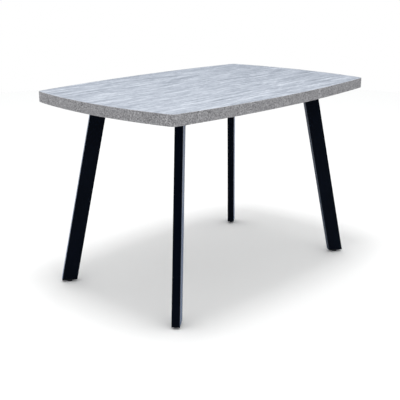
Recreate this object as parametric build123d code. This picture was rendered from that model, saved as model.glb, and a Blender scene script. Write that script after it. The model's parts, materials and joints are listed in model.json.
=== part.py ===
from build123d import *
import os
from math import acos, cos, pi, radians, sin, tan

# Extendable dining table. The bowed top is split across its middle: both halves slide apart on
# runners, kept in step by a pinion between two racks, and a folded leaf is stored between the rails.
# X runs along the length, Y across it, Z up. The origin is on the floor under the middle of the top.
# The left half is drawn, and the right half is the same half turned 180 degrees. Millimetres.

# Overall size of the closed table
LENGTH = 1200.0
WIDTH = 780.0
HEIGHT = 760.0
END_BOW = 40.0           # how far each end stands out past its corners
SIDE_BOW = 40.0          # how far each long side stands out past its corners
CORNER_RADIUS = 25.0
TRAVEL = 215.0           # how far each half slides out

# Top
EDGE_HEIGHT = 39.0
PANEL = 18.0
BAND = 2.0
BAND_CHAMFER = 0.8
END_STRIP_X = 540.0      # inner face of the strip under each end
SIDE_STRIP_Y = 335.0     # inner face of the strips under the long sides

# Legs, as cut level: the long way of the tube points along the top's diagonal
LEG_WIDE = 60.0
LEG_NARROW = 30.0
LEG_CORNER = 3.0
LEG_WALL = 1.8
LEG_TURN = 35.0
LEG_FOOT = (499.3, 297.8)    # middle of the tube at its lower end
LEG_HEAD = (387.5, 213.5)    # middle of the tube under its plate
LEG_BOTTOM = 10.0
PLUG_DEPTH = 20.0
PLUG_RIM = 1.5
PLUG_PLAY = 0.1

# Levelling glides
GLIDE_RADIUS = 10.0
GLIDE_HEIGHT = 8.0
GLIDE_TAPER = 1.0
GLIDE_ROUND = 0.8
GLIDE_STEM = 4.0
GLIDE_STEM_TOP = 38.0
GLIDE_PLAY = 0.1

# Rails: double channels, open upwards through two slots
RAIL_X = 425.0
RAIL_IN = 202.0
RAIL_WIDTH = 36.0
RAIL_BOTTOM = 688.0
RAIL_TOP = 720.0
RAIL_WALL = 2.0
RAIL_FLOOR = 3.0
RAIL_ROUND = 1.0
SLOT = 8.0
LANE = (RAIL_WIDTH - 3 * RAIL_WALL) / 2

# Runners and their spacers
RUNNER_X = (-445.0, 170.0)
RUNNER_PLAY = 0.3
RUNNER_WALL = 2.0
SPACER_X = (-440.0, -80.0)
SPACER_NECK = 7.0
SPACER_WIDTH = 15.0
SPACER_PLAY = 0.5
RUNNER_SCREW_X = (-430.0, -270.0, -110.0)

# Plates and bars that tie the frame
PLATE = 6.0
PLATE_X = (305.0, 395.0)
PLATE_Y = (165.0, 226.0)
PLATE_ROUND = 6.0
END_BAR_X = (265.0, 305.0)
BAR_Y = 228.0
RIB_WIDTH = 12.0
RIB_Y = 150.0
RIB_HEIGHT = 15.0
CENTRE_BAR_X = 25.0
CENTRE_BAR_HEIGHT = 12.0
CENTRE_BAR_WALL = 1.5
CENTRE_BAR_ROUND = 1.2
PLATE_BOLT_X = (317.0, 342.0)
BOLT_Y = 214.0
BOLT_RADIUS = 3.0
BOLT_HEAD_RADIUS = 6.0
BOLT_HEAD = 3.3

# Synchronising gear: straight racks each side of one pinion
MODULE = 2.0
TEETH = 20
PRESSURE_ANGLE = radians(20)
BACKLASH = 0.25
GEAR_Z = (690.3, 698.3)
GEAR_BORE = 4.05
GEAR_PIN = 4.0
PITCH_RADIUS = MODULE * TEETH / 2
RACK_BACK = 33.0
RACK_X = (-272.0, 253.5)
RACK_TEETH_X = (-20.0, 240.0)
RACK_STOP = 8.0
RACK_STOP_BACK = 41.0
HOUSING_X = 38.0
HOUSING_WALL_Y = (33.3, 43.3)
HOUSING_FLOOR = 2.0
HOUSING_ROUND = 4.0
LID = 2.0
LID_SCREW_X = 18.75

# Rack bracket, bent from strip
BRACKET_X = (-300.0, -240.0)
BRACKET_FOOT_X = -270.0
BRACKET_Y = (12.0, 42.0)
BRACKET_STRIP = 3.0
RACK_SCREW_X = (-262.0, -249.0)
RACK_SCREW_Y = 27.5
RACK_SCREW_END = 0.5

# Stored leaf, folded back to back
LEAF_X = 200.0
LEAF_Y = 195.0
LEAF_BOTTOM = 703.5
LEAF_GAP = 0.5
LEAF_BAND = 2.0
LEAF_BAR_X = 120.0
LEAF_BAR_WIDTH = 30.0
LEAF_BAR = 3.0
LEAF_BAR_CHAMFER = 0.6
PAD = 1.0
PAD_SIZE = (26.0, 40.0)
PAD_Y = (-150.0, 0.0, 150.0)
ANGLE_LEG = 20.0
ANGLE_WIDTH = 24.0
ANGLE_STRIP = 2.0
HINGE_X = 110.0
HINGE_WIDTH = 60.0
HINGE_REACH = 25.0
HINGE_STRIP = 1.5
KNUCKLE_RADIUS = 2.8
HINGE_PIN = 1.5
HINGE_PLAY = 0.1

# Dowels across the split
DOWEL_RADIUS = 4.0
DOWEL_HALF = 15.0
DOWEL_CHAMFER = 1.0
DOWEL_PLAY = 0.3
DOWEL_Y = (110.0, 330.0)

# Lock: a hooked lever on one half catches a stud on the other
LOCK_PIVOT = (-30.0, -290.0)
LOCK_REACH = 55.0
LOCK_OPEN = 80.0
LEVER_Z = (729.0, 735.0)
LEVER_BOSS = 9.0
LEVER_HOOK = 10.0
LEVER_ARM = 14.0
LEVER_GRIP = 12.0
LEVER_HANDLE = 34.0
LEVER_TAB = 7.0
LEVER_ROUND = 1.5
LOCK_SHANK = 4.0
LOCK_HEAD_RADIUS = 8.0
LOCK_HEAD = 3.0
STUD_HEAD_RADIUS = 6.0
LOCK_PLAY = 0.05

# Screws
SCREW_RADIUS = 2.5
SCREW_HEAD_RADIUS = 4.2
SCREW_HEAD = 2.0
SCREW_DEPTH = 12.0
SCREW_PLAY = 0.05
SOCKET_SIZE = 0.45       # hexagon socket's radius, as a share of its head's
SOCKET_DEPTH = 0.6       # and its depth, as a share of its head's height
HEAD_ROUND = 0.45        # rounding of a head's rim, as a share of its height

EDGE_BOTTOM = HEIGHT - EDGE_HEIGHT
PANEL_BOTTOM = HEIGHT - PANEL
RAIL_OUT = RAIL_IN + RAIL_WIDTH
LANE_IN = RAIL_IN + RAIL_WALL + LANE / 2
LANE_OUT = RAIL_OUT - RAIL_WALL - LANE / 2
RUNNER_BOTTOM = RAIL_BOTTOM + RAIL_FLOOR + RUNNER_PLAY
RUNNER_TOP = RAIL_TOP - RAIL_WALL - RUNNER_PLAY
PLATE_BOTTOM = RAIL_BOTTOM - PLATE
LEAF_MIDDLE = LEAF_BOTTOM + PANEL + LEAF_GAP / 2
PANEL_MIDDLE = HEIGHT - PANEL / 2
LID_BOTTOM = GEAR_Z[1] + RUNNER_PLAY


# ---------------------------------------------------------------- helpers
def block(x, y, z):
    """A box between the limits given for each axis."""
    size = (x[1] - x[0], y[1] - y[0], z[1] - z[0])
    middle = ((x[0] + x[1]) / 2, (y[0] + y[1]) / 2, (z[0] + z[1]) / 2)
    return Pos(*middle) * Box(*size)


def rod(x, y, z, radius):
    """An upright cylinder between the two heights in z."""
    return Pos(x, y, (z[0] + z[1]) / 2) * Cylinder(radius, z[1] - z[0])


def rod_along_x(x, y, z, radius):
    """A level cylinder between the two places in x."""
    return Pos((x[0] + x[1]) / 2, y, z) * Rot(0, 90, 0) * Cylinder(radius, x[1] - x[0])


def group(solids):
    return Compound([piece for solid in solids for piece in solid.solids()])


def turned(shape):
    """The same piece on the other half of the table."""
    return Rot(0, 0, 180) * shape


def hexagon(x, y, z, radius):
    return slab(Pos(x, y) * RegularPolygon(radius, 6), z)


def round_head(x, y, seat, radius, height, side):
    """A round head with a hexagon socket; side is 1 above its seat and -1 below."""
    crown = seat + side * height
    head = rod(x, y, sorted((seat, crown)), radius)
    rim = head.edges().sort_by(Axis.Z)[-1 if side > 0 else 0]
    head = fillet(rim, height * HEAD_ROUND)
    socket = sorted((crown - side * height * SOCKET_DEPTH, crown + side))
    return head - hexagon(x, y, socket, radius * SOCKET_SIZE)


def screw(x, y, seat, tip, radius=SCREW_RADIUS, head_radius=SCREW_HEAD_RADIUS, head=SCREW_HEAD):
    """A screw from its seat to its tip, driven up or down."""
    side = -1 if tip > seat else 1
    shank = rod(x, y, sorted((seat, tip)), radius)
    return shank + round_head(x, y, seat, head_radius, head, side)


def flush_head(x, y, z, play=0.0):
    """The cone of a countersunk bolt head, flush at z and pointing up."""
    cone = Cone(BOLT_HEAD_RADIUS + play, BOLT_RADIUS + play, BOLT_HEAD)
    return Pos(x, y, z + BOLT_HEAD / 2) * cone


def flush_bolt(x, y):
    """A countersunk bolt up through a plate or end bar into a rail."""
    bolt = flush_head(x, y, PLATE_BOTTOM)
    bolt += rod(x, y, (PLATE_BOTTOM + BOLT_HEAD, RAIL_BOTTOM + RAIL_FLOOR), BOLT_RADIUS)
    socket = (PLATE_BOTTOM - 1, PLATE_BOTTOM + BOLT_HEAD * SOCKET_DEPTH)
    return bolt - hexagon(x, y, socket, BOLT_HEAD_RADIUS * SOCKET_SIZE)


def flush_hole(x, y):
    """The hole of such a bolt in a plate or end bar."""
    hole = rod(x, y, (PLATE_BOTTOM - 1, RAIL_BOTTOM + 1), BOLT_RADIUS + SCREW_PLAY)
    return hole + flush_head(x, y, PLATE_BOTTOM, SCREW_PLAY)


# ---------------------------------------------------------------- top
def bow_radius(chord, rise):
    return (chord ** 2 / 4 + rise ** 2) / (2 * rise)


def top_outline(inset=0.0):
    """The bowed outline: four long arcs joined by small round corners."""
    side_radius = bow_radius(LENGTH - 2 * END_BOW, SIDE_BOW)
    end_radius = bow_radius(WIDTH - 2 * SIDE_BOW, END_BOW)
    outline = None
    for x, y, radius in (
        (0, side_radius - WIDTH / 2, side_radius),
        (0, WIDTH / 2 - side_radius, side_radius),
        (end_radius - LENGTH / 2, 0, end_radius),
        (LENGTH / 2 - end_radius, 0, end_radius),
    ):
        disc = Pos(x, y) * Circle(radius - inset)
        outline = disc if outline is None else outline & disc
    return fillet(outline.vertices(), CORNER_RADIUS - inset)


def slab(outline, z):
    return extrude(Pos(0, 0, z[0]) * outline, z[1] - z[0])


def left_side(x=(-LENGTH, 0.0), y=(-WIDTH, WIDTH)):
    """A cutting block that keeps the part of the top between these limits."""
    return block(x, y, (0.0, 2 * HEIGHT))


def edge_band():
    """The plastic band round three sides of the half, the full height of the edge."""
    skin = slab(top_outline(), (EDGE_BOTTOM, HEIGHT))
    rims = skin.edges().group_by(Axis.Z)
    skin = chamfer(rims[0] + rims[-1], BAND_CHAMFER)
    core = slab(top_outline(BAND), (EDGE_BOTTOM - BAND, HEIGHT + BAND))
    return (skin - core) & left_side()


def panel():
    board = slab(top_outline(BAND), (PANEL_BOTTOM, HEIGHT)) & left_side()
    for y in DOWEL_Y:
        board -= rod_along_x((-DOWEL_HALF, 1), -y, PANEL_MIDDLE, DOWEL_RADIUS)
        board -= rod_along_x((-DOWEL_HALF - 1, 1), y, PANEL_MIDDLE, DOWEL_RADIUS + DOWEL_PLAY)
    holes = [(x, y) for x in RUNNER_SCREW_X for y in (-LANE_OUT, LANE_IN)]
    holes += [(BRACKET_X[0] + SCREW_DEPTH, y) for y in bracket_screw_y()]
    holes += [LOCK_PIVOT, stud_place_left()]
    for x, y in holes:
        board -= rod(x, y, (PANEL_BOTTOM - 1, PANEL_BOTTOM + SCREW_DEPTH), SCREW_RADIUS + SCREW_PLAY)
    return board


def end_strip():
    ring = slab(top_outline(BAND), (EDGE_BOTTOM, PANEL_BOTTOM))
    return ring & left_side(x=(-LENGTH, -END_STRIP_X))


def side_strips():
    ring = slab(top_outline(BAND), (EDGE_BOTTOM, PANEL_BOTTOM))
    front = ring & left_side(x=(-END_STRIP_X, 0), y=(-WIDTH, -SIDE_STRIP_Y))
    back = ring & left_side(x=(-END_STRIP_X, 0), y=(SIDE_STRIP_Y, WIDTH))
    return group([front, back])


def dowels():
    ends = (-DOWEL_HALF, DOWEL_HALF)
    return group([chamfered_pin(ends, -y, PANEL_MIDDLE) for y in DOWEL_Y])


def chamfered_pin(x, y, z):
    pin = rod_along_x(x, y, z, DOWEL_RADIUS)
    return chamfer(pin.edges().filter_by(GeomType.CIRCLE), DOWEL_CHAMFER)


# ---------------------------------------------------------------- runners
def runner_lanes():
    """The two lanes that carry the left half: the outer one in front, the inner one behind."""
    return (-LANE_OUT, LANE_IN)


def runner(y):
    half = LANE / 2 - RUNNER_PLAY
    tube = block(RUNNER_X, (y - half, y + half), (RUNNER_BOTTOM, RUNNER_TOP))
    hollow = half - RUNNER_WALL
    tube -= block(
        (RUNNER_X[0] - 1, RUNNER_X[1] + 1),
        (y - hollow, y + hollow),
        (RUNNER_BOTTOM + RUNNER_WALL, RUNNER_TOP - RUNNER_WALL),
    )
    for x in RUNNER_SCREW_X:
        tube -= rod(x, y, (RUNNER_TOP - RUNNER_WALL - 1, RUNNER_TOP + 1), SCREW_RADIUS + SCREW_PLAY)
    return tube


def spacer(y):
    """A T-shaped batten whose neck reaches down through the rail's slot to the runner."""
    neck = SPACER_NECK / 2
    wide = SPACER_WIDTH / 2
    foot = RAIL_TOP + SPACER_PLAY
    batten = block(SPACER_X, (y - wide, y + wide), (foot, PANEL_BOTTOM))
    batten += block(SPACER_X, (y - neck, y + neck), (RUNNER_TOP, foot))
    for x in RUNNER_SCREW_X:
        batten -= rod(x, y, (RUNNER_TOP - 1, PANEL_BOTTOM + 1), SCREW_RADIUS + SCREW_PLAY)
    return batten


def runner_screws():
    head = RUNNER_TOP - RUNNER_WALL
    tip = PANEL_BOTTOM + SCREW_DEPTH
    return group([screw(x, y, head, tip) for x in RUNNER_SCREW_X for y in runner_lanes()])


# ---------------------------------------------------------------- frame
def rail(side):
    """A double channel; side is -1 in front and 1 behind."""
    y_in, y_out = side * RAIL_IN, side * RAIL_OUT
    channel = block((-RAIL_X, RAIL_X), sorted((y_in, y_out)), (RAIL_BOTTOM, RAIL_TOP))
    channel = fillet(channel.edges().filter_by(Axis.X), RAIL_ROUND)
    past = (-RAIL_X - 1, RAIL_X + 1)
    roof = RAIL_TOP - RAIL_WALL
    for lane in (LANE_IN, LANE_OUT):
        y = side * lane
        channel -= block(past, (y - LANE / 2, y + LANE / 2), (RAIL_BOTTOM + RAIL_FLOOR, roof))
        channel -= block(past, (y - SLOT / 2, y + SLOT / 2), (roof - 1, RAIL_TOP + 1))
    hole = (RAIL_BOTTOM - 1, RAIL_BOTTOM + RAIL_FLOOR)
    for x in bolt_xs():
        channel -= rod(x, side * BOLT_Y, hole, BOLT_RADIUS + SCREW_PLAY)
    return channel


def bolt_xs():
    """Where bolts enter the rails: leg plates, end bars and the centre bar."""
    middle = sum(END_BAR_X) / 2
    return [side * x for side in (-1, 1) for x in (*PLATE_BOLT_X, middle)] + [0.0]


def end_bar(side):
    """A flat bar that ties the rails, stiffened by a rib under its middle."""
    x = sorted((side * END_BAR_X[0], side * END_BAR_X[1]))
    middle = sum(x) / 2
    bar = block(x, (-BAR_Y, BAR_Y), (PLATE_BOTTOM, RAIL_BOTTOM))
    bar = fillet(bar.edges().filter_by(Axis.Z), PLATE_ROUND)
    rib_x = (middle - RIB_WIDTH / 2, middle + RIB_WIDTH / 2)
    bar += block(rib_x, (-RIB_Y, RIB_Y), (PLATE_BOTTOM - RIB_HEIGHT, PLATE_BOTTOM))
    for y in (-BOLT_Y, BOLT_Y):
        bar -= flush_hole(middle, y)
    return bar


def centre_bar():
    bottom = RAIL_BOTTOM - CENTRE_BAR_HEIGHT
    wall = CENTRE_BAR_WALL
    tube = block((-CENTRE_BAR_X, CENTRE_BAR_X), (-BAR_Y, BAR_Y), (bottom, RAIL_BOTTOM))
    tube = fillet(tube.edges().filter_by(Axis.Y), CENTRE_BAR_ROUND)
    tube -= block(
        (wall - CENTRE_BAR_X, CENTRE_BAR_X - wall),
        (-BAR_Y - 1, BAR_Y + 1),
        (bottom + wall, RAIL_BOTTOM - wall),
    )
    for y in (-BOLT_Y, BOLT_Y):
        tube -= rod(0, y, (bottom - 1, RAIL_BOTTOM + 1), BOLT_RADIUS + SCREW_PLAY)
    tube -= rod(0, 0, (RAIL_BOTTOM - wall - 1, RAIL_BOTTOM + 1), GEAR_PIN + SCREW_PLAY)
    for x, y in lid_screw_places():
        tube -= rod(x, y, (RAIL_BOTTOM - wall - 1, RAIL_BOTTOM + 1), SCREW_RADIUS)
    return tube


def leg_plates():
    """A plate on each leg, bolted to the rail inward of the leg and cut flush with its outer faces."""
    plate = block(PLATE_X, PLATE_Y, (PLATE_BOTTOM, RAIL_BOTTOM))
    plate = fillet(plate.edges().filter_by(Axis.Z), PLATE_ROUND)
    plate += extrude(leg_section(PLATE_BOTTOM), PLATE)
    for x in PLATE_BOLT_X:
        plate -= flush_hole(x, BOLT_Y)
    return group([to_corner(plate, side_x, side_y) for side_x in (-1, 1) for side_y in (-1, 1)])


def plate_bolts():
    return group([flush_bolt(x, y) for x in bolt_xs() if x for y in (-BOLT_Y, BOLT_Y)])


def centre_bolts():
    bottom = RAIL_BOTTOM - CENTRE_BAR_HEIGHT
    tip = RAIL_BOTTOM + RAIL_FLOOR
    sizes = (BOLT_RADIUS, BOLT_HEAD_RADIUS, BOLT_HEAD)
    return group([screw(0, y, bottom, tip, *sizes) for y in (-BOLT_Y, BOLT_Y)])


# ---------------------------------------------------------------- legs
def leg_centre(z):
    """Middle of the leg at height z, on the straight line from its foot to its head."""
    share = (z - LEG_BOTTOM) / (PLATE_BOTTOM - LEG_BOTTOM)
    return [foot + share * (head - foot) for foot, head in zip(LEG_FOOT, LEG_HEAD)]


def leg_section(z, inset=0.0):
    """The tube's level cut at height z, for the leg with positive X and Y."""
    x, y = leg_centre(z)
    corner = max(LEG_CORNER - inset, 0.5)
    outline = RectangleRounded(LEG_WIDE - 2 * inset, LEG_NARROW - 2 * inset, corner)
    return Pos(x, y, z) * Rot(0, 0, LEG_TURN) * outline


def leg_prism(z, inset=0.0):
    low, high = leg_centre(z[0]), leg_centre(z[1])
    lean = Vector(high[0] - low[0], high[1] - low[1], z[1] - z[0])
    return extrude(leg_section(z[0], inset), lean.length, dir=lean.normalized())


def leg():
    tube = leg_prism((LEG_BOTTOM, PLATE_BOTTOM))
    return tube - leg_prism((LEG_BOTTOM - 1, PLATE_BOTTOM + 1), LEG_WALL)


def plug():
    """A plastic plug in the leg's end, with a rim as wide as the tube."""
    body = leg_prism((LEG_BOTTOM, LEG_BOTTOM + PLUG_DEPTH), LEG_WALL + PLUG_PLAY)
    body += leg_prism((LEG_BOTTOM - PLUG_RIM, LEG_BOTTOM), PLUG_PLAY)
    hole = (LEG_BOTTOM - PLUG_RIM - 1, LEG_BOTTOM + PLUG_DEPTH + 1)
    return body - rod(*LEG_FOOT, hole, GLIDE_STEM + GLIDE_PLAY)


def glide():
    """A round foot that narrows a little upwards, on a level-adjusting stem."""
    foot = Cone(GLIDE_RADIUS, GLIDE_RADIUS - GLIDE_TAPER, GLIDE_HEIGHT)
    foot = fillet(foot.edges().filter_by(GeomType.CIRCLE), GLIDE_ROUND)
    foot = Pos(*LEG_FOOT, GLIDE_HEIGHT / 2) * foot
    return foot + rod(*LEG_FOOT, (GLIDE_HEIGHT - 1, GLIDE_STEM_TOP), GLIDE_STEM)


def to_corner(shape, side_x, side_y):
    """Mirrors a piece of the leg at positive X and Y to another corner."""
    if side_x < 0:
        shape = mirror(shape, about=Plane.YZ)
    if side_y < 0:
        shape = mirror(shape, about=Plane.XZ)
    return shape


# ---------------------------------------------------------------- gear
def involute(angle):
    return tan(angle) - angle


def pinion():
    root = PITCH_RADIUS - 1.25 * MODULE
    tip = PITCH_RADIUS + MODULE
    base = PITCH_RADIUS * cos(PRESSURE_ANGLE)
    half = pi / (2 * TEETH) - BACKLASH / (2 * PITCH_RADIUS)
    steps = 6
    flank = [(root, half + involute(PRESSURE_ANGLE))]
    for i in range(steps + 1):
        radius = base + (tip - base) * i / steps
        flank.append((radius, half + involute(PRESSURE_ANGLE) - involute(acos(base / radius))))
    points = []
    for tooth in range(TEETH):
        middle = pi / 2 + 2 * pi * tooth / TEETH
        points += [(r * cos(middle - a), r * sin(middle - a)) for r, a in flank]
        points += [(r * cos(middle + a), r * sin(middle + a)) for r, a in reversed(flank)]
    disc = make_face(Polyline(*points, close=True))
    wheel = slab(disc, GEAR_Z)
    return wheel - rod(0, 0, (GEAR_Z[0] - 1, GEAR_Z[1] + 1), GEAR_BORE)


def rack():
    """A bar with straight-sided teeth towards the pinion, and a stop at its far end."""
    root = PITCH_RADIUS + 1.25 * MODULE
    tip = PITCH_RADIUS - MODULE
    pitch = pi * MODULE
    half = pitch / 4 - BACKLASH / 2
    bar = block(RACK_X, (root, RACK_BACK), GEAR_Z)
    first = round(RACK_TEETH_X[0] / pitch - 0.5)
    last = round(RACK_TEETH_X[1] / pitch - 0.5)
    lean = tan(PRESSURE_ANGLE)
    at_root = half + (root - PITCH_RADIUS) * lean
    at_tip = half - (PITCH_RADIUS - tip) * lean
    for number in range(first, last):
        x = (number + 0.5) * pitch
        corners = [(x - at_root, root), (x - at_tip, tip), (x + at_tip, tip), (x + at_root, root)]
        bar += slab(make_face(Polyline(*corners, close=True)), GEAR_Z)
    bar += block((RACK_X[1], RACK_X[1] + RACK_STOP), (root, RACK_STOP_BACK), GEAR_Z)
    for x, y in rack_screw_places():
        bar -= rod(x, y, (GEAR_Z[0] - 1, GEAR_Z[1] + 1), SCREW_RADIUS + SCREW_PLAY)
    return bar


def rack_screw_places():
    return [(x, RACK_SCREW_Y) for x in RACK_SCREW_X]


def bracket_screw_y():
    quarter = (BRACKET_Y[1] - BRACKET_Y[0]) / 4
    return (BRACKET_Y[0] + quarter, BRACKET_Y[1] - quarter)


def rack_bracket():
    """A strip bent into a C: screwed under the panel, standing on the rack."""
    strip = BRACKET_STRIP
    x_far, x_near = BRACKET_X
    top = block((x_far, x_near), BRACKET_Y, (PANEL_BOTTOM - strip, PANEL_BOTTOM))
    web = block((x_near - strip, x_near), BRACKET_Y, (GEAR_Z[1], PANEL_BOTTOM))
    foot = block((BRACKET_FOOT_X, x_near), BRACKET_Y, (GEAR_Z[1], GEAR_Z[1] + strip))
    bracket = top + web + foot
    bracket = fillet(bracket.edges().filter_by(Axis.Y).group_by(Axis.X)[-1], strip)
    for y in bracket_screw_y():
        hole = (PANEL_BOTTOM - strip - 1, PANEL_BOTTOM + 1)
        bracket -= rod(x_far + SCREW_DEPTH, y, hole, SCREW_RADIUS + SCREW_PLAY)
    for x, y in rack_screw_places():
        bracket -= rod(x, y, (GEAR_Z[1] - 1, GEAR_Z[1] + strip + 1), SCREW_RADIUS + SCREW_PLAY)
    return bracket


def bracket_screws():
    """Two screws up into the panel and two down into the rack."""
    x = BRACKET_X[0] + SCREW_DEPTH
    head = PANEL_BOTTOM - BRACKET_STRIP
    screws = [screw(x, y, head, PANEL_BOTTOM + SCREW_DEPTH) for y in bracket_screw_y()]
    top = GEAR_Z[1] + BRACKET_STRIP
    screws += [screw(x, y, top, GEAR_Z[0] + RACK_SCREW_END) for x, y in rack_screw_places()]
    return group(screws)


def lid_screw_places():
    y = sum(HOUSING_WALL_Y) / 2
    return [(i * LID_SCREW_X, j * y) for i in (-1, 1) for j in (-1, 1)]


def gear_housing():
    """A floor on the centre bar and a wall behind each rack."""
    wall_in, wall_out = HOUSING_WALL_Y
    body = block((-HOUSING_X, HOUSING_X), (-wall_out, wall_out), (RAIL_BOTTOM, LID_BOTTOM))
    body = fillet(body.edges().filter_by(Axis.Z), HOUSING_ROUND)
    past = (-HOUSING_X - 1, HOUSING_X + 1)
    body -= block(past, (-wall_in, wall_in), (RAIL_BOTTOM + HOUSING_FLOOR, LID_BOTTOM + 1))
    for x, y in lid_screw_places():
        body -= rod(x, y, (RAIL_BOTTOM - 1, LID_BOTTOM + 1), SCREW_RADIUS)
    return body - rod(0, 0, (RAIL_BOTTOM - 1, LID_BOTTOM), GEAR_PIN + SCREW_PLAY)


def gear_lid():
    wall_out = HOUSING_WALL_Y[1]
    plate = block((-HOUSING_X, HOUSING_X), (-wall_out, wall_out), (LID_BOTTOM, LID_BOTTOM + LID))
    plate = fillet(plate.edges().filter_by(Axis.Z), HOUSING_ROUND)
    holes = (LID_BOTTOM - 1, LID_BOTTOM + LID + 1)
    for x, y in lid_screw_places():
        plate -= rod(x, y, holes, SCREW_RADIUS)
    return plate - rod(0, 0, holes, GEAR_PIN + SCREW_PLAY)


def gear_pin():
    return rod(0, 0, (RAIL_BOTTOM - CENTRE_BAR_WALL, LID_BOTTOM + LID), GEAR_PIN)


def lid_screws():
    top = LID_BOTTOM + LID
    bottom = RAIL_BOTTOM - CENTRE_BAR_WALL
    radius = SCREW_RADIUS - SCREW_PLAY
    return group([screw(x, y, top, bottom, radius) for x, y in lid_screw_places()])


# ---------------------------------------------------------------- stored leaf
def leaf_board(upper):
    """One board of the folded leaf; the fold is at positive Y, the underside at the middle plane."""
    face = LEAF_MIDDLE + LEAF_GAP / 2 if upper else LEAF_MIDDLE - LEAF_GAP / 2
    outward = 1 if upper else -1
    z = sorted((face, face + outward * PANEL))
    board = block((-LEAF_X, LEAF_X), (LEAF_BAND - LEAF_Y, LEAF_Y), z)
    middle = face + outward * PANEL / 2
    for y in leaf_dowel_y():
        board -= rod_along_x((LEAF_X - DOWEL_HALF, LEAF_X + 1), y, middle, DOWEL_RADIUS)
        hole = (-LEAF_X - 1, DOWEL_HALF + 1 - LEAF_X)
        board -= rod_along_x(hole, y, middle, DOWEL_RADIUS + DOWEL_PLAY)
    for x in (-HINGE_X, HINGE_X):
        wide = HINGE_WIDTH / 2 + HINGE_PLAY
        pocket = sorted((face - outward, face + outward * (HINGE_STRIP + HINGE_PLAY)))
        board -= block((x - wide, x + wide), (LEAF_Y - HINGE_REACH - HINGE_PLAY, LEAF_Y + 1), pocket)
        board -= rod_along_x((x - wide, x + wide), LEAF_Y, LEAF_MIDDLE, KNUCKLE_RADIUS + HINGE_PLAY)
    return board


def leaf_dowel_y():
    """The stored leaf's dowels, worked out from where they meet the halves in use."""
    return [LEAF_Y - y for y in DOWEL_Y]


def leaf_dowels():
    pins = []
    for outward in (-1, 1):
        middle = LEAF_MIDDLE + outward * (LEAF_GAP + PANEL) / 2
        for y in leaf_dowel_y():
            pins.append(chamfered_pin((LEAF_X - DOWEL_HALF, LEAF_X + DOWEL_HALF), y, middle))
    return group(pins)


def leaf_edge_bands():
    bands = []
    for outward in (-1, 1):
        face = LEAF_MIDDLE + outward * LEAF_GAP / 2
        z = sorted((face, face + outward * PANEL))
        bands.append(block((-LEAF_X, LEAF_X), (-LEAF_Y, LEAF_BAND - LEAF_Y), z))
    return group(bands)


def leaf_hinges():
    """Butt hinges let into the undersides: two knuckles on one plate and one on the other."""
    knuckle = HINGE_WIDTH / 3
    plates = []
    for x in (-HINGE_X, HINGE_X):
        for outward, knuckles in ((1, (-1, 1)), (-1, (0,))):
            face = LEAF_MIDDLE + outward * LEAF_GAP / 2
            z = sorted((face, face + outward * HINGE_STRIP))
            wide = HINGE_WIDTH / 2
            near = LEAF_Y - KNUCKLE_RADIUS - HINGE_PLAY
            plate = block((x - wide, x + wide), (LEAF_Y - HINGE_REACH, near), z)
            for number in knuckles:
                half = knuckle / 2 - HINGE_PLAY
                ends = (x + number * knuckle - half, x + number * knuckle + half)
                plate += block(ends, (near - 1, LEAF_Y), z)
                plate += rod_along_x(ends, LEAF_Y, LEAF_MIDDLE, KNUCKLE_RADIUS)
            past = (x - HINGE_WIDTH, x + HINGE_WIDTH)
            plates.append(plate - rod_along_x(past, LEAF_Y, LEAF_MIDDLE, HINGE_PIN + SCREW_PLAY))
    return group(plates)


def leaf_hinge_pins():
    pins = []
    for x in (-HINGE_X, HINGE_X):
        ends = (x - HINGE_WIDTH / 2, x + HINGE_WIDTH / 2)
        pins.append(rod_along_x(ends, LEAF_Y, LEAF_MIDDLE, HINGE_PIN))
    return group(pins)


def leaf_bars():
    top = LEAF_BOTTOM - PAD
    half = LEAF_BAR_WIDTH / 2
    bars = []
    for x in (-LEAF_BAR_X, LEAF_BAR_X):
        bar = block((x - half, x + half), (-RAIL_IN, RAIL_IN), (top - LEAF_BAR, top))
        bars.append(chamfer(bar.edges().filter_by(Axis.Y), LEAF_BAR_CHAMFER))
    return group(bars)


def leaf_bar_angles():
    """Small angles that hold the leaf bars to the inner faces of the rails."""
    top = LEAF_BOTTOM - PAD - LEAF_BAR
    half = ANGLE_WIDTH / 2
    angles = []
    for x in (-LEAF_BAR_X, LEAF_BAR_X):
        for side in (-1, 1):
            shelf = sorted((side * RAIL_IN, side * (RAIL_IN - ANGLE_LEG)))
            wall = sorted((side * RAIL_IN, side * (RAIL_IN - ANGLE_STRIP)))
            angle = block((x - half, x + half), shelf, (top - ANGLE_STRIP, top))
            angle += block((x - half, x + half), wall, (RAIL_BOTTOM, top))
            angles.append(angle)
    return group(angles)


def leaf_pads():
    half_x, half_y = PAD_SIZE[0] / 2, PAD_SIZE[1] / 2
    pads = []
    z = (LEAF_BOTTOM - PAD, LEAF_BOTTOM)
    for x in (-LEAF_BAR_X, LEAF_BAR_X):
        for y in PAD_Y:
            pads.append(block((x - half_x, x + half_x), (y - half_y, y + half_y), z))
    return group(pads)


# ---------------------------------------------------------------- lock
def stud_place():
    """Where the other half's stud stands when the top is closed."""
    return LOCK_PIVOT[0] + LOCK_REACH, LOCK_PIVOT[1]


def stud_place_left():
    """The left half's own stud, which the right half's lever catches."""
    x, y = stud_place()
    return -x, -y


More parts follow.
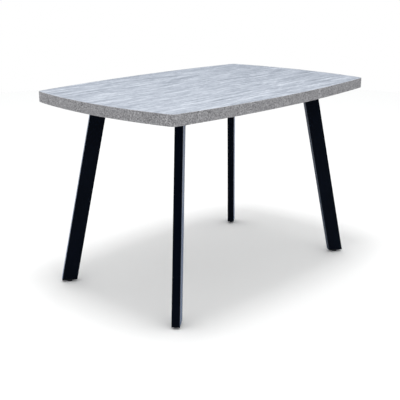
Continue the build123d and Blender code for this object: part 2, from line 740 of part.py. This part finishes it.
def lock_lever():
    """The front lever, open: drawn reaching for the stud, then swung back about its pivot."""
    stud_hole = LOCK_SHANK + DOWEL_PLAY
    plan = Circle(LEVER_BOSS)
    plan += Pos(LOCK_REACH / 2, 0) * Rectangle(LOCK_REACH, LEVER_ARM)
    plan += Pos(LOCK_REACH, 0) * Circle(LEVER_HOOK)
    plan += Pos(-LEVER_HANDLE / 2, 0) * Rectangle(LEVER_HANDLE, LEVER_GRIP)
    plan += Pos(-LEVER_HANDLE, 0) * Circle(LEVER_TAB)
    plan -= Circle(LOCK_SHANK + LOCK_PLAY)
    plan -= Pos(LOCK_REACH, 0) * Circle(stud_hole)
    plan -= Pos(LOCK_REACH, -LEVER_BOSS) * Rectangle(2 * stud_hole, 2 * LEVER_BOSS)
    tab = rod(-LEVER_HANDLE, 0, (EDGE_BOTTOM, LEVER_Z[1]), LEVER_TAB)
    tab = fillet(tab.edges().sort_by(Axis.Z)[0], LEVER_ROUND)
    return Pos(*LOCK_PIVOT) * Rot(0, 0, LOCK_OPEN) * (slab(plan, LEVER_Z) + tab)


def shoulder_bolt(x, y, head_radius):
    """A bolt up into the panel, with a smooth shank for the lever under it."""
    bolt = screw(x, y, LEVER_Z[0] - RUNNER_PLAY, PANEL_BOTTOM, LOCK_SHANK, head_radius, LOCK_HEAD)
    return bolt + rod(x, y, (PANEL_BOTTOM, PANEL_BOTTOM + SCREW_DEPTH), SCREW_RADIUS)


def lock_pivot():
    """The lever's pivot bolt, and the bush that keeps the lever down from the panel."""
    ring = (LEVER_Z[1] + RUNNER_PLAY, PANEL_BOTTOM)
    bush = rod(*LOCK_PIVOT, ring, LOCK_HEAD_RADIUS) - rod(*LOCK_PIVOT, ring, LOCK_SHANK + LOCK_PLAY)
    return group([shoulder_bolt(*LOCK_PIVOT, LOCK_HEAD_RADIUS), bush])


def lock_stud():
    return shoulder_bolt(*stud_place_left(), STUD_HEAD_RADIUS)


# ---------------------------------------------------------------- all pieces
def build():
    """Every sub-part by the name of its node."""
    parts = {
        "front_rail": rail(-1),
        "back_rail": rail(1),
        "left_end_bar": end_bar(-1),
        "right_end_bar": end_bar(1),
        "centre_bar": centre_bar(),
        "leg_plates": leg_plates(),
        "plate_bolts": plate_bolts(),
        "centre_bolts": centre_bolts(),
        "gear_housing": gear_housing(),
        "gear_lid": gear_lid(),
        "gear_pin": gear_pin(),
        "lid_screws": lid_screws(),
        "sync_pinion": pinion(),
        "leaf_upper_board": leaf_board(upper=True),
        "leaf_lower_board": leaf_board(upper=False),
        "leaf_edge_bands": leaf_edge_bands(),
        "leaf_dowels": leaf_dowels(),
        "leaf_hinges": leaf_hinges(),
        "leaf_hinge_pins": leaf_hinge_pins(),
        "leaf_bars": leaf_bars(),
        "leaf_bar_angles": leaf_bar_angles(),
        "leaf_felt_pads": leaf_pads(),
    }
    half = {
        "panel": panel(),
        "edge_band": edge_band(),
        "end_strip": end_strip(),
        "side_strips": side_strips(),
        "runners": group([runner(y) for y in runner_lanes()]),
        "spacers": group([spacer(y) for y in runner_lanes()]),
        "runner_screws": runner_screws(),
        "rack": rack(),
        "rack_bracket": rack_bracket(),
        "bracket_screws": bracket_screws(),
        "dowels": dowels(),
        "lock_pivot": lock_pivot(),
        "lock_stud": lock_stud(),
    }
    for name, shape in half.items():
        parts["left_" + name] = shape
        parts["right_" + name] = turned(shape)
    parts["front_lock_lever"] = lock_lever()
    parts["back_lock_lever"] = turned(lock_lever())
    plugs = []
    for name_y, side_y in (("front", -1), ("back", 1)):
        for name_x, side_x in (("left", -1), ("right", 1)):
            corner = name_y + "_" + name_x
            parts[corner + "_leg"] = to_corner(leg(), side_x, side_y)
            parts[corner + "_glide"] = to_corner(glide(), side_x, side_y)
            plugs.append(to_corner(plug(), side_x, side_y))
    parts["foot_plugs"] = group(plugs)
    return parts


os.makedirs("parts", exist_ok=True)
for node, shape in build().items():
    export_step(shape, f"parts/{node}.step")
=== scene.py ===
import json
import math

import bpy
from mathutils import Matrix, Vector


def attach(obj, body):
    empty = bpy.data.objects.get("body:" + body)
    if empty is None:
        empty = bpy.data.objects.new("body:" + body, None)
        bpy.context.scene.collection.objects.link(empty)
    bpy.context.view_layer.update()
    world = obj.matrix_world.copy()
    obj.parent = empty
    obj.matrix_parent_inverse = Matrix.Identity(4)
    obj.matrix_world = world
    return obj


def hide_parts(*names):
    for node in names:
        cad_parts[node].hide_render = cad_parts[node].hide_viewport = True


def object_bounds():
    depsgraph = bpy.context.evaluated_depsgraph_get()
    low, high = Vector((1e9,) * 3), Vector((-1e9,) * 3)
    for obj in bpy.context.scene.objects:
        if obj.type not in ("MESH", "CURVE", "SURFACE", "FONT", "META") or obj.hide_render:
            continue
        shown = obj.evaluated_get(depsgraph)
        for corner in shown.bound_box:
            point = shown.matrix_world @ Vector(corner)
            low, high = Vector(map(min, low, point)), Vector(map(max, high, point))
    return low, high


# Looks for the extendable dining table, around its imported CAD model. Everything is in metres.
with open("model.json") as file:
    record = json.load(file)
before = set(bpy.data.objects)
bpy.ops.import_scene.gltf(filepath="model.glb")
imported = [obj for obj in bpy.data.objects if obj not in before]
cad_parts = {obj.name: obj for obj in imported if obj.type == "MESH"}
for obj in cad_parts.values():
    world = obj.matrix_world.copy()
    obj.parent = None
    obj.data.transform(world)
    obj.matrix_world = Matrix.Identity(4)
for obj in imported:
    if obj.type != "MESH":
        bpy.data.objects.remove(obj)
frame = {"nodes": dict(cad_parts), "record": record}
cad_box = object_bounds()
nodes = frame["nodes"]
mounts = {mount["name"]: mount for mount in frame["record"]["mounts"]}
scene = bpy.context.scene

# Camera: a 68 mm lens that looks down on the table from beyond its front left corner
CAMERA_AT = Vector((-2.2142, -1.9753, 1.1981))
CAMERA_YAW = math.radians(42.44)
CAMERA_PITCH = math.radians(17.11)
SENSOR = 36.0
LENS = 68.18

# Light: a dome that is dim near the horizon, and one soft square light high above. The dome's two
# limits are heights on a dome of radius 1.
ZENITH = (1.14, 1.14, 1.13)
HORIZON = (0.14, 0.16, 0.20)
DIM_BELOW = 0.24
BRIGHT_ABOVE = 0.62
KEY_AT = Vector((-0.60, -0.22, 5.2))
KEY_SIZE = 1.2
KEY_WATTS = 74.0

# Floor
FLOOR_REACH = 5.0
FLOOR_SIDES = 72
FLOOR_DROP = 0.0002

# Pad of a levelling glide. The sole's groove is given as (radius, height) points.
GLIDE_RADIUS = 0.010
GLIDE_TAPER = 0.001
GLIDE_HEIGHT = 0.008
GLIDE_ROUND = 0.0008
RIM_STEPS = 4
SOLE_GROOVE = ((0.0034, 0.0), (0.0036, 0.0004), (0.0066, 0.0004), (0.0068, 0.0))
FLUTES = 20
FLUTE_DEPTH = 0.00045
FLUTE_RUN = 0.36            # how far the flutes reach from half height, as a share of the height
FLUTE_FROM = 0.0085         # smaller radii are on the sole or the top and stay plain
PAD_SIDES = 160

# Threaded stem of a levelling glide
STEM_RADIUS = 0.004
STEM_TOP = 0.038
STEM_IN_PAD = 0.001
STEM_CHAMFER = 0.0012
STEM_CHAMFER_DEPTH = 0.0009
STEM_SIDES = 32
THREAD_PITCH = 0.00125
THREAD_DEPTH = 0.0006
RINGS_PER_TURN = 8

# Legs, as in the CAD model, and the weld beads at their tops
LEG_TOP_AT = (0.3875, 0.2135)
LEG_TURN = math.radians(35.0)
LEG_WIDE = 0.060
LEG_NARROW = 0.030
LEG_CORNER = 0.003
CORNER_STEPS = 6
WELD_Z = 0.6818
WELD_RADIUS = 0.0021
WELD_RIPPLE = 0.0016
WELD_SWELL = 0.13
WELD_REACH = 0.027
WELD_STEP = 0.0004
WELD_SMOOTHING_STEPS = 3
WELD_TAPER_STEPS = 5
WELD_END = 0.08             # share of the bead's section that is left at its very ends
WELD_SIDES = 12


def srgb(red, green, blue):
    """A colour given on a 0 to 255 scale, as the linear colour that shaders take."""
    def linear(value):
        value /= 255
        return value / 12.92 if value <= 0.04045 else ((value + 0.055) / 1.055) ** 2.4
    return (linear(red), linear(green), linear(blue), 1.0)


# ---------------------------------------------------------------- shader helpers
class Finish:
    """A material made of nodes. Its patterns use the table's coordinates, in metres."""

    def __init__(self, name, **sockets):
        self.material = bpy.data.materials.new(name)
        self.material.use_nodes = True
        self.tree = self.material.node_tree
        self.shader = self.tree.nodes["Principled BSDF"]
        self.place = self.tree.nodes.new("ShaderNodeTexCoord").outputs["Object"]
        for socket, value in sockets.items():
            self.shader.inputs[socket.replace("_", " ")].default_value = value

    def node(self, kind, settings=None, **inputs):
        """A node with these settings, whose inputs take values or other nodes' outputs."""
        made = self.tree.nodes.new(kind)
        for name, value in (settings or {}).items():
            setattr(made, name, value)
        for name, value in inputs.items():
            self.feed(made.inputs[name.replace("_", " ")], value)
        return made

    def feed(self, socket, value):
        if isinstance(value, bpy.types.NodeSocket):
            self.tree.links.new(value, socket)
        else:
            socket.default_value = value

    def noise(self, size, detail=3.0, roughness=0.5, distortion=0.0, shift=0.0):
        """Noise whose blotches are about this size, in metres, along X, Y and Z."""
        scale = tuple(1 / length for length in size)
        moved = self.node(
            "ShaderNodeMapping", Vector=self.place, Scale=scale, Location=(shift, shift, shift)
        )
        made = self.node(
            "ShaderNodeTexNoise", Vector=moved.outputs["Vector"], Scale=1.0,
            Detail=detail, Roughness=roughness, Distortion=distortion,
        )
        return made.outputs["Fac"]

    def cells(self, size):
        """Cells of about this size, each with a colour of its own."""
        scale = tuple(1 / length for length in size)
        moved = self.node("ShaderNodeMapping", Vector=self.place, Scale=scale)
        made = self.node("ShaderNodeTexVoronoi", Vector=moved.outputs["Vector"], Scale=1.0)
        return made.outputs["Color"]

    def ramp(self, value, stops):
        """Colours or greys along a value from 0 to 1."""
        made = self.node("ShaderNodeValToRGB", Fac=value)
        band = made.color_ramp
        while len(band.elements) < len(stops):
            band.elements.new(0.5)
        for element, (place, colour) in zip(band.elements, stops):
            element.position = place
            element.color = colour if hasattr(colour, "__len__") else (colour, colour, colour, 1)
        return made.outputs["Color"]

    def mix(self, share, first, second):
        """The first colour at share 0, the second at share 1."""
        made = self.node("ShaderNodeMix", {"data_type": "RGBA"})
        self.feed(made.inputs[0], share)
        self.feed(made.inputs[6], first)
        self.feed(made.inputs[7], second)
        return made.outputs[2]

    def math(self, how, first, second):
        made = self.node("ShaderNodeMath", {"operation": how})
        self.feed(made.inputs[0], first)
        self.feed(made.inputs[1], second)
        return made.outputs[0]

    def facing(self, way):
        """1 where the surface faces up, or down, and 0 elsewhere."""
        normal = self.node("ShaderNodeNewGeometry").outputs["Normal"]
        parts = self.node("ShaderNodeSeparateXYZ", Vector=normal)
        lean = self.math("MULTIPLY", parts.outputs["Z"], 1.0 if way == "up" else -1.0)
        return self.ramp(lean, [(0.45, 0.0), (0.55, 1.0)])

    def height(self):
        """Height above the floor."""
        parts = self.node("ShaderNodeSeparateXYZ", Vector=self.place)
        return parts.outputs["Z"]

    def colour(self, value):
        self.feed(self.shader.inputs["Base Color"], value)

    def gloss(self, value, low, high):
        """Roughness that follows a pattern, between two values."""
        spread = self.node("ShaderNodeMapRange", Value=value, To_Min=low, To_Max=high)
        self.feed(self.shader.inputs["Roughness"], spread.outputs["Result"])

    def relief(self, *layers):
        """Bump from (pattern, depth in metres) layers, coarse first."""
        normal = None
        for pattern, depth in layers:
            bump = self.node("ShaderNodeBump", Height=pattern, Distance=depth, Strength=1.0)
            if normal is not None:
                self.feed(bump.inputs["Normal"], normal)
            normal = bump.outputs["Normal"]
        self.feed(self.shader.inputs["Normal"], normal)


# ---------------------------------------------------------------- materials
def laminate():
    """Light bluish grey wood grain along X on top with a painted light gradient, plain backing below
    and grey board edges.
    """
    m = Finish("grey_laminate", Specular_IOR_Level=0.4)
    flame = m.noise((0.260, 0.019, 0.019), detail=3.0, roughness=0.65, distortion=0.5, shift=3.0)
    streak = m.noise((0.140, 0.0115, 0.0115), detail=4.0, roughness=0.7, distortion=0.5, shift=7.0)
    fleck = m.noise((0.024, 0.0070, 0.0070), detail=2.0, roughness=0.7, distortion=0.4, shift=9.0)
    fibre = m.noise((0.022, 0.0021, 0.0021), detail=1.0, roughness=0.6, shift=11.0)
    grain = m.math("MULTIPLY", flame, 0.32)
    for layer, share in ((streak, 0.36), (fleck, 0.22), (fibre, 0.10)):
        grain = m.math("ADD", grain, m.math("MULTIPLY", layer, share))
    # Painted light: the grain is shifted lighter towards the front left and darker towards the back
    # right, as the light falls across the top.
    painted_light_towards = (-0.024, -0.026, 0.0)
    painted_light_gradient = m.node("ShaderNodeVectorMath", {"operation": "DOT_PRODUCT"})
    m.feed(painted_light_gradient.inputs[0], m.place)
    m.feed(painted_light_gradient.inputs[1], painted_light_towards)
    grain = m.math("ADD", grain, painted_light_gradient.outputs["Value"])
    face = m.ramp(grain, [
        (0.36, srgb(112, 120, 133)),
        (0.45, srgb(156, 164, 176)),
        (0.50, srgb(177, 184, 196)),
        (0.55, srgb(198, 205, 216)),
        (0.64, srgb(236, 242, 250)),
    ])
    pore = m.noise((0.013, 0.0011, 0.0011), detail=1.0, shift=5.0)
    pores = m.ramp(pore, [(0.58, 0.0), (0.70, 1.0)])
    face = m.mix(m.math("MULTIPLY", pores, 0.3), face, srgb(122, 128, 141))
    speckle = m.noise((0.0012, 0.0012, 0.0012), detail=1.0)
    backing = m.mix(speckle, srgb(196, 196, 194), srgb(212, 212, 209))
    edge = m.mix(speckle, srgb(150, 150, 152), srgb(176, 176, 178))
    m.colour(m.mix(m.facing("up"), m.mix(m.facing("down"), edge, backing), face))
    m.gloss(streak, 0.34, 0.50)
    m.relief((flame, 0.0002), (streak, 0.00012), (fibre, 0.00006))
    return m.material


def edge_band():
    """Grey plastic band, printed with a fine mineral speckle."""
    m = Finish("speckled_edge_band", Specular_IOR_Level=0.3)
    cloud = m.noise((0.030, 0.030, 0.022), detail=2.0)
    speck = m.noise((0.0042, 0.0042, 0.0046), detail=2.0, roughness=0.7)
    grit = m.noise((0.0011, 0.0011, 0.0011), detail=1.0, shift=4.0)
    tone = m.math("ADD", m.math("MULTIPLY", cloud, 0.08), m.math("MULTIPLY", speck, 0.67))
    tone = m.math("ADD", tone, m.math("MULTIPLY", grit, 0.25))
    m.colour(m.ramp(tone, [
        (0.37, srgb(97, 96, 98)),
        (0.46, srgb(141, 140, 142)),
        (0.54, srgb(168, 167, 169)),
        (0.65, srgb(216, 215, 217)),
    ]))
    m.gloss(speck, 0.5, 0.72)
    m.relief((speck, 0.00018), (grit, 0.00008))
    return m.material


def strip_board():
    """Chipboard strips: grey backing paper below, raw chips on the sawn faces."""
    m = Finish("strip_chipboard", Specular_IOR_Level=0.25)
    chip = m.cells((0.0060, 0.0060, 0.0016))
    crumb = m.noise((0.0016, 0.0016, 0.0011), detail=3.0, roughness=0.7)
    tone = m.mix(0.45, chip, crumb)
    grey = m.node("ShaderNodeRGBToBW", Color=tone).outputs["Val"]
    raw = m.ramp(grey, [
        (0.28, srgb(118, 92, 64)),
        (0.50, srgb(166, 136, 100)),
        (0.72, srgb(205, 180, 143)),
    ])
    paper = m.mix(crumb, srgb(184, 184, 182), srgb(204, 204, 201))
    down = m.facing("down")
    m.colour(m.mix(down, raw, paper))
    m.gloss(crumb, 0.6, 0.85)
    m.relief((m.math("MULTIPLY", grey, m.math("SUBTRACT", 1.0, down)), 0.0005))
    return m.material


def black_steel():
    """Fine-textured black powder coat, a little scuffed close to the floor."""
    m = Finish(
        "black_powder_coat", Specular_IOR_Level=0.022,
        Sheen_Weight=0.65, Sheen_Roughness=0.3, Sheen_Tint=(0.45, 0.62, 1.0, 1.0),
    )
    peel = m.noise((0.0011, 0.0011, 0.0011), detail=2.0, roughness=0.6)
    cloud = m.noise((0.09, 0.09, 0.14), detail=3.0)
    scuff = m.noise((0.016, 0.016, 0.0035), detail=3.0, roughness=0.65, distortion=0.4, shift=2.0)
    low = m.node("ShaderNodeMapRange", Value=m.height(), From_Min=0.09, From_Max=0.01, To_Max=1.0)
    worn = m.math("MULTIPLY", m.ramp(scuff, [(0.60, 0.0), (0.72, 1.0)]), low.outputs["Result"])
    paint = m.mix(cloud, srgb(2, 5, 12), srgb(7, 13, 25))
    m.colour(m.mix(m.math("MULTIPLY", worn, 0.2), paint, srgb(52, 54, 58)))
    dull = m.math("ADD", m.math("MULTIPLY", cloud, 0.7), m.math("MULTIPLY", worn, 0.3))
    m.gloss(dull, 0.16, 0.30)
    m.relief((peel, 0.00002))
    return m.material


def metal(name, light, dark, along, roughness):
    """Bare metal with fine lines; along gives their size on X, Y and Z."""
    m = Finish(name, Metallic=1.0)
    line = m.noise(along, detail=3.0, roughness=0.65)
    cloud = m.noise((0.05, 0.05, 0.05), detail=2.0, shift=6.0)
    tone = m.math("ADD", m.math("MULTIPLY", line, 0.65), m.math("MULTIPLY", cloud, 0.35))
    m.colour(m.ramp(tone, [(0.32, dark), (0.66, light)]))
    m.gloss(tone, roughness - 0.10, roughness + 0.12)
    m.relief((line, 0.00005))
    return m.material


def aluminium():
    return metal(
        "extruded_aluminium", srgb(214, 216, 218), srgb(168, 171, 174), (0.30, 0.0007, 0.0007), 0.36
    )


def zinc_steel():
    return metal(
        "zinc_plated_steel", srgb(206, 208, 210), srgb(150, 154, 160), (0.004, 0.004, 0.004), 0.32
    )


def beech():
    """Planed beech with short dark flecks along X."""
    m = Finish("beech", Specular_IOR_Level=0.3)
    ring = m.noise((0.20, 0.010, 0.010), detail=3.0, distortion=0.3)
    fleck = m.noise((0.006, 0.0008, 0.0008), detail=1.0, shift=9.0)
    wood = m.ramp(ring, [
        (0.34, srgb(186, 142, 98)),
        (0.52, srgb(208, 168, 122)),
        (0.68, srgb(224, 190, 148)),
    ])
    dark = m.ramp(fleck, [(0.64, 0.0), (0.74, 1.0)])
    m.colour(m.mix(m.math("MULTIPLY", dark, 0.5), wood, srgb(140, 96, 60)))
    m.gloss(ring, 0.55, 0.72)
    m.relief((ring, 0.0002), (fleck, 0.0001))
    return m.material


def plastic(name, light, dark, roughness, texture):
    """Moulded plastic with a fine texture of this size."""
    m = Finish(name, Specular_IOR_Level=0.4)
    cloud = m.noise((0.018, 0.018, 0.018), detail=3.0)
    pebble = m.noise((texture, texture, texture), detail=2.0, shift=3.0)
    m.colour(m.mix(cloud, dark, light))
    m.gloss(pebble, roughness - 0.08, roughness + 0.12)
    m.relief((pebble, 0.00006))
    return m.material


def nylon():
    return plastic("natural_nylon", srgb(232, 229, 216), srgb(214, 209, 192), 0.42, 0.0012)


def black_plastic():
    return plastic("black_plastic", srgb(30, 31, 33), srgb(17, 18, 20), 0.46, 0.0009)


def felt():
    """Pressed grey wool felt."""
    m = Finish("felt", Specular_IOR_Level=0.1, Sheen_Weight=0.4, Sheen_Roughness=0.5)
    wool = m.noise((0.0035, 0.0007, 0.0009), detail=4.0, roughness=0.75, distortion=1.5)
    m.colour(m.mix(wool, srgb(62, 62, 65), srgb(116, 116, 119)))
    m.gloss(wool, 0.85, 1.0)
    m.relief((wool, 0.0004))
    return m.material


FINISHES = {
    "top_laminate": laminate,
    "edge_band": edge_band,
    "strip_board": strip_board,
    "black_steel": black_steel,
    "aluminium": aluminium,
    "zinc_steel": zinc_steel,
    "beech": beech,
    "nylon": nylon,
    "black_plastic": black_plastic,
    "felt": felt,
}
finishes = {slot: make() for slot, make in FINISHES.items()}


def paint_nodes():
    """Gives each CAD node the finish of its slot in the record."""
    for part in frame["record"]["subparts"]:
        piece = nodes[part["node"]]
        piece.data.materials.clear()
        piece.data.materials.append(finishes[part["material_slot"]])


# ---------------------------------------------------------------- added pieces
def add_mesh(name, points, faces, body, slot):
    """A smooth-shaded piece that moves with a body of the record and takes the finish of a slot."""
    mesh = bpy.data.meshes.new(name)
    mesh.from_pydata([tuple(point) for point in points], [], faces)
    mesh.shade_smooth()
    mesh.materials.append(finishes[slot])
    piece = bpy.data.objects.new(name, mesh)
    scene.collection.objects.link(piece)
    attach(piece, body)
    return piece


def skin(rings):
    """Faces over a stack of closed rings of equal length, with a fan at each end."""
    count = len(rings[0])
    points = [point for ring in rings for point in ring]
    faces = []
    for level in range(len(rings) - 1):
        low, high = level * count, (level + 1) * count
        for i in range(count):
            j = (i + 1) % count
            faces.append((low + i, low + j, high + j, high + i))
    for ring, start, flip in ((rings[0], 0, True), (rings[-1], (len(rings) - 1) * count, False)):
        points.append(sum((Vector(point) for point in ring), Vector()) / count)
        for i in range(count):
            j = (i + 1) % count
            corners = (start + i, start + j, len(points) - 1)
            faces.append(corners[::-1] if flip else corners)
    return points, faces


def rounded_rim(radius, z, start):
    """Profile points of a quarter turn about (radius, z), from a start angle in degrees."""
    turns = [math.radians(start + 90 * step / RIM_STEPS) for step in range(RIM_STEPS + 1)]
    return [
        (radius + GLIDE_ROUND * math.cos(turn), z + GLIDE_ROUND * math.sin(turn)) for turn in turns
    ]


def glide_pad(x, y):
    """The moulded foot: tapered, with rounded rims, grip flutes and a shallow ring below."""
    top = GLIDE_RADIUS - GLIDE_TAPER
    low, high = GLIDE_ROUND, GLIDE_HEIGHT - GLIDE_ROUND
    profile = list(SOLE_GROOVE) + rounded_rim(GLIDE_RADIUS - GLIDE_ROUND, low, -90)
    for share in (0.08, 0.16, 0.5, 0.84, 0.92):
        profile.append((GLIDE_RADIUS + (top - GLIDE_RADIUS) * share, low + (high - low) * share))
    profile += rounded_rim(top - GLIDE_ROUND, high, 0)
    profile.append((STEM_RADIUS, GLIDE_HEIGHT))
    rings = []
    for radius, z in profile:
        inside = max(0.0, 1 - abs(z / GLIDE_HEIGHT - 0.5) / FLUTE_RUN)
        depth = FLUTE_DEPTH * min(1.0, inside * 4) if radius > FLUTE_FROM else 0.0
        ring = []
        for i in range(PAD_SIDES):
            turn = 2 * math.pi * i / PAD_SIDES
            reach = radius - depth * (0.5 - 0.5 * math.cos(FLUTES * turn)) ** 2
            ring.append(Vector((x + reach * math.cos(turn), y + reach * math.sin(turn), z)))
        rings.append(ring)
    return skin(rings)


def glide_stem(x, y):
    """A threaded rod with a chamfered end, from inside the pad to the top of the stem."""
    low = GLIDE_HEIGHT - STEM_IN_PAD
    count = round((STEM_TOP - low) / THREAD_PITCH * RINGS_PER_TURN)
    rings = []
    for level in range(count + 1):
        z = low + (STEM_TOP - low) * level / count
        end = min(1.0, (STEM_TOP - z) / STEM_CHAMFER)
        ring = []
        for i in range(STEM_SIDES):
            turn = 2 * math.pi * i / STEM_SIDES
            phase = (z / THREAD_PITCH - i / STEM_SIDES) % 1.0
            groove = THREAD_DEPTH * abs(2 * phase - 1)
            reach = STEM_RADIUS - groove - STEM_CHAMFER_DEPTH * (1 - end)
            ring.append(Vector((x + reach * math.cos(turn), y + reach * math.sin(turn), z)))
        rings.append(ring)
    return skin(rings)


def weld_path():
    """Round the inner narrow side of the leg at positive X and Y, and partly along its long sides."""
    along = Vector((math.cos(LEG_TURN), math.sin(LEG_TURN), 0))
    across = Vector((-math.sin(LEG_TURN), math.cos(LEG_TURN), 0))
    inner = Vector((*LEG_TOP_AT, WELD_Z)) - along * LEG_WIDE / 2
    path = []
    for side in (1, -1):
        edge = [inner + across * side * LEG_NARROW / 2 + along * WELD_REACH]
        for step in range(CORNER_STEPS + 1):
            turn = math.radians(90 * step / CORNER_STEPS)
            out = across * side * (LEG_NARROW / 2 - LEG_CORNER + LEG_CORNER * math.cos(turn))
            edge.append(inner + along * LEG_CORNER * (1 - math.sin(turn)) + out)
        path += edge if side > 0 else edge[::-1]
    return path


def weld_bead(side_x, side_y):
    """A rippled bead along the inner sides of a leg, where it meets its plate."""
    path = [Vector((side_x * spot.x, side_y * spot.y, spot.z)) for spot in weld_path()]
    spots = []
    for start, end in zip(path, path[1:]):
        steps = max(2, round((end - start).length / WELD_STEP))
        spots += [start.lerp(end, i / steps) for i in range(steps)]
    spots.append(path[-1])
    rings = []
    travelled = 0.0
    for i, spot in enumerate(spots):
        before = spots[max(i - WELD_SMOOTHING_STEPS, 0)]
        after = spots[min(i + WELD_SMOOTHING_STEPS, len(spots) - 1)]
        ahead = (after - before).normalized()
        side = ahead.cross(Vector((0, 0, 1)))
        travelled += (spot - spots[i - 1]).length if i else 0.0
        ripple = 1 + WELD_SWELL * abs(math.sin(math.pi * travelled / WELD_RIPPLE))
        from_end = min(i, len(spots) - 1 - i) / WELD_TAPER_STEPS
        radius = WELD_RADIUS * ripple * math.sqrt(min(1.0, WELD_END + from_end))
        turns = [2 * math.pi * k / WELD_SIDES for k in range(WELD_SIDES)]
        rings.append([
            spot + (side * math.cos(turn) + Vector((0, 0, math.sin(turn)))) * radius
            for turn in turns
        ])
    return skin(rings)


def add_corner_pieces():
    """A glide in two pieces under each leg, in place of the CAD model's, and a weld at its top."""
    for front_back, side_y in (("front", -1), ("back", 1)):
        for left_right, side_x in (("left", -1), ("right", 1)):
            corner = f"{front_back}_{left_right}"
            x, y, _ = mounts[corner + "_floor_contact"]["pos_m"]
            pad = add_mesh(corner + "_glide_pad", *glide_pad(x, y), corner + "_foot", "black_plastic")
            stem = add_mesh(corner + "_glide_stem", *glide_stem(x, y), corner + "_foot", "zinc_steel")
            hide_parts(corner + "_glide")
            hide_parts(corner + "_glide")
            add_mesh(corner + "_leg_weld", *weld_bead(side_x, side_y), "frame", "black_steel")


# ---------------------------------------------------------------- studio
def make_floor():
    """A round white floor, only as wide as the views need."""
    mesh = bpy.data.meshes.new("floor")
    turns = [2 * math.pi * step / FLOOR_SIDES for step in range(FLOOR_SIDES)]
    rim = [(FLOOR_REACH * math.cos(turn), FLOOR_REACH * math.sin(turn), 0) for turn in turns]
    mesh.from_pydata(rim, [], [tuple(range(len(rim)))])
    floor = bpy.data.objects.new("floor", mesh)
    floor.location.z = cad_box[0].z - FLOOR_DROP
    scene.collection.objects.link(floor)
    m = Finish("white_floor", Roughness=0.9, Specular_IOR_Level=0.0)
    m.colour(srgb(252, 252, 252))
    mesh.materials.append(m.material)


def make_lights():
    """A dome, bright overhead, that the camera itself sees as plain white, and a high soft light."""
    world = bpy.data.worlds.new("studio")
    world.use_nodes = True
    tree = world.node_tree
    background = tree.nodes["Background"]
    place = tree.nodes.new("ShaderNodeTexCoord")
    parts = tree.nodes.new("ShaderNodeSeparateXYZ")
    ramp = tree.nodes.new("ShaderNodeValToRGB")
    shown = tree.nodes.new("ShaderNodeBackground")
    path = tree.nodes.new("ShaderNodeLightPath")
    chosen = tree.nodes.new("ShaderNodeMixShader")
    tree.links.new(place.outputs["Generated"], parts.inputs["Vector"])
    tree.links.new(parts.outputs["Z"], ramp.inputs["Fac"])
    ramp.color_ramp.elements[0].position = DIM_BELOW
    ramp.color_ramp.elements[0].color = (*HORIZON, 1)
    ramp.color_ramp.elements[1].position = BRIGHT_ABOVE
    ramp.color_ramp.elements[1].color = (*ZENITH, 1)
    tree.links.new(ramp.outputs["Color"], background.inputs["Color"])
    shown.inputs["Color"].default_value = (1, 1, 1, 1)
    tree.links.new(path.outputs["Is Camera Ray"], chosen.inputs["Fac"])
    tree.links.new(background.outputs["Background"], chosen.inputs[1])
    tree.links.new(shown.outputs["Background"], chosen.inputs[2])
    tree.links.new(chosen.outputs["Shader"], tree.nodes["World Output"].inputs["Surface"])
    scene.world = world

    key = bpy.data.lights.new("softbox", "AREA")
    key.energy = KEY_WATTS
    key.size = KEY_SIZE
    holder = bpy.data.objects.new("softbox", key)
    holder.location = KEY_AT
    scene.collection.objects.link(holder)


def make_camera():
    """The photograph's viewpoint and lens."""
    camera = bpy.data.cameras.new("camera")
    camera.sensor_width = SENSOR
    camera.lens = LENS
    holder = bpy.data.objects.new("camera", camera)
    ahead = Vector((
        math.cos(CAMERA_YAW) * math.cos(CAMERA_PITCH),
        math.sin(CAMERA_YAW) * math.cos(CAMERA_PITCH),
        -math.sin(CAMERA_PITCH),
    ))
    holder.location = CAMERA_AT
    holder.rotation_euler = ahead.to_track_quat("-Z", "Y").to_euler()
    scene.collection.objects.link(holder)
    scene.camera = holder


paint_nodes()
add_corner_pieces()
make_floor()
make_lights()
make_camera()
scene.view_settings.view_transform = "Standard"
